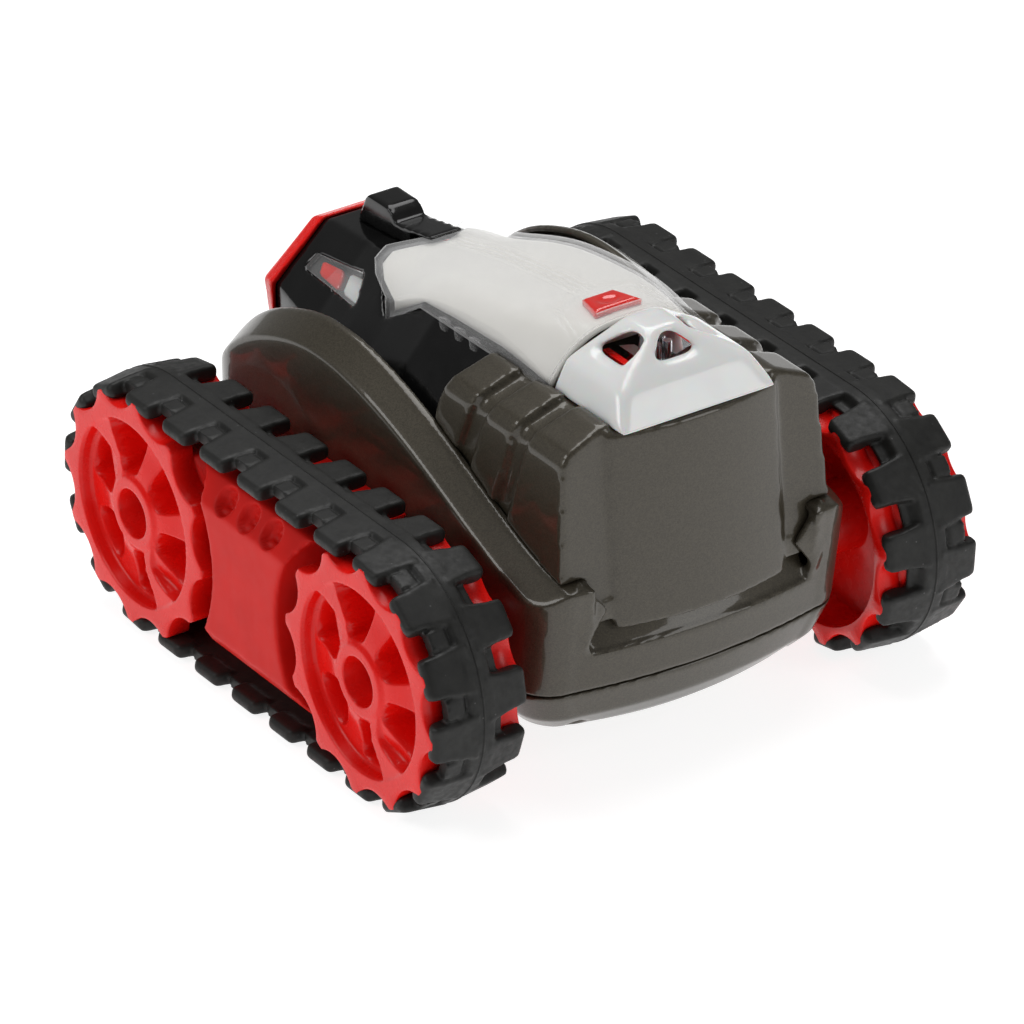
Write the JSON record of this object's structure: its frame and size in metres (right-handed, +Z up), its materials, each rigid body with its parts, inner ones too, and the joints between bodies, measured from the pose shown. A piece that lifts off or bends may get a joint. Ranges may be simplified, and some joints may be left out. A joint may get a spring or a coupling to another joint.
{
  "type": "tracked remote-controlled toy vehicle",
  "caption": "Low toy vehicle on rubber tracks round toothed wheels, with an arched hull, cab, clear canopy over a roof, and a ribbed cowl under a bonnet with intakes.",
  "frame": {"origin": "on the ground, midway between the tracks and between the axles", "axes": "+X forward, to the end with the ribbed cowl; +Y left; +Z up"},
  "size_m": [0.211, 0.1988, 0.1386],
  "materials": {
    "hull_plastic": "metallic-flake gloss",
    "red_plastic": "gloss",
    "track_rubber": "matt moulded",
    "black_plastic": "gloss",
    "clear_plastic": "clear polished",
    "white_liner": "satin",
    "white_bonnet": "translucent gloss",
    "red_lens": "gloss lens",
    "screw_steel": "zinc plated",
    "bright_steel": "ground",
    "gear_nylon": "natural nylon",
    "brass": "turned",
    "chrome": "plated",
    "cell_wrap": "shrink wrap",
    "board_green": "solder mask",
    "component_black": "moulded",
    "lamp_white": "clear epoxy"
  },
  "bodies": {
    "chassis": {"axle_bushes": "brass", "battery_cells": "cell_wrap", "battery_contacts": "screw_steel", "battery_door": "hull_plastic", "battery_door_screw": "screw_steel", "board_components": "component_black", "board_screws": "screw_steel", "bonnet": "white_bonnet", "cab_shell": "black_plastic", "circuit_board": "board_green", "clear_canopy": "clear_plastic", "drive_motor_left": "bright_steel", "drive_motor_right": "bright_steel", "engine_block": "chrome", "engine_carrier": "red_plastic", "engine_cowl": "hull_plastic", "frame_screws": "screw_steel", "gearbox_case_left": "black_plastic", "gearbox_case_right": "black_plastic", "gearbox_cover_left": "black_plastic", "gearbox_cover_right": "black_plastic", "gearbox_screws": "screw_steel", "hull_screws": "screw_steel", "idler_pins": "bright_steel", "idler_screws": "screw_steel", "lamp_bar": "black_plastic", "lamp_diodes": "lamp_white", "lower_hull": "hull_plastic", "pod_screws": "screw_steel", "roof_lamp_lens": "red_lens", "roof_liner": "white_liner", "side_lens_left": "clear_plastic", "side_lens_right": "clear_plastic", "side_pod_left": "red_plastic", "side_pod_right": "red_plastic", "switch_body": "black_plastic", "tail_frame": "red_plastic", "top_scoop": "black_plastic", "track_belt_left": "track_rubber", "track_belt_right": "track_rubber", "track_frame_left": "red_plastic", "track_frame_right": "red_plastic", "upper_hull": "hull_plastic"},
    "drive_left": {"front_wheel_left": "red_plastic", "drive_axle_left": "bright_steel", "axle_gear_left": "gear_nylon", "drive_screw_left": "screw_steel"},
    "idler_left": {"rear_wheel_left": "red_plastic"},
    "cluster_left": {"gear_cluster_left": "gear_nylon"},
    "pinion_left": {"motor_pinion_left": "brass"},
    "drive_right": {"front_wheel_right": "red_plastic", "drive_axle_right": "bright_steel", "axle_gear_right": "gear_nylon", "drive_screw_right": "screw_steel"},
    "idler_right": {"rear_wheel_right": "red_plastic"},
    "cluster_right": {"gear_cluster_right": "gear_nylon"},
    "pinion_right": {"motor_pinion_right": "brass"},
    "switch": {"switch_slider": "black_plastic"}
  },
  "joints": [
    {"name": "drive_spin_left", "type": "hinge", "parent": "chassis", "child": "drive_left", "pos_m": [0.063, 0.0826, 0.0425], "axis": [0, 1, 0], "continuous": true, "deforming": ["track_belt_left"]},
    {"name": "idler_spin_left", "type": "hinge", "parent": "chassis", "child": "idler_left", "pos_m": [-0.063, 0.0826, 0.0425], "axis": [0, 1, 0], "continuous": true},
    {"name": "cluster_spin_left", "type": "hinge", "parent": "chassis", "child": "cluster_left", "pos_m": [0.04646, 0.046, 0.04852], "axis": [0, 1, 0], "continuous": true},
    {"name": "pinion_spin_left", "type": "hinge", "parent": "chassis", "child": "pinion_left", "pos_m": [0.03206, 0.048, 0.04852], "axis": [0, 1, 0], "continuous": true},
    {"name": "drive_spin_right", "type": "hinge", "parent": "chassis", "child": "drive_right", "pos_m": [0.063, -0.0826, 0.0425], "axis": [0, 1, 0], "continuous": true, "deforming": ["track_belt_right"]},
    {"name": "idler_spin_right", "type": "hinge", "parent": "chassis", "child": "idler_right", "pos_m": [-0.063, -0.0826, 0.0425], "axis": [0, 1, 0], "continuous": true},
    {"name": "cluster_spin_right", "type": "hinge", "parent": "chassis", "child": "cluster_right", "pos_m": [0.04646, -0.046, 0.04852], "axis": [0, 1, 0], "continuous": true},
    {"name": "pinion_spin_right", "type": "hinge", "parent": "chassis", "child": "pinion_right", "pos_m": [0.03206, -0.048, 0.04852], "axis": [0, 1, 0], "continuous": true},
    {"name": "power_switch", "type": "slide", "parent": "chassis", "child": "switch", "axis": [1, 0, 0], "range_m": [0, 0.004]}
  ],
  "couplings": [
    {"joint": "idler_spin_left", "follows": "drive_spin_left", "ratio": 1},
    {"joint": "cluster_spin_left", "follows": "drive_spin_left", "ratio": -2.6667},
    {"joint": "pinion_spin_left", "follows": "drive_spin_left", "ratio": 8},
    {"joint": "idler_spin_right", "follows": "drive_spin_right", "ratio": 1},
    {"joint": "cluster_spin_right", "follows": "drive_spin_right", "ratio": -2.6667},
    {"joint": "pinion_spin_right", "follows": "drive_spin_right", "ratio": 8}
  ]
}
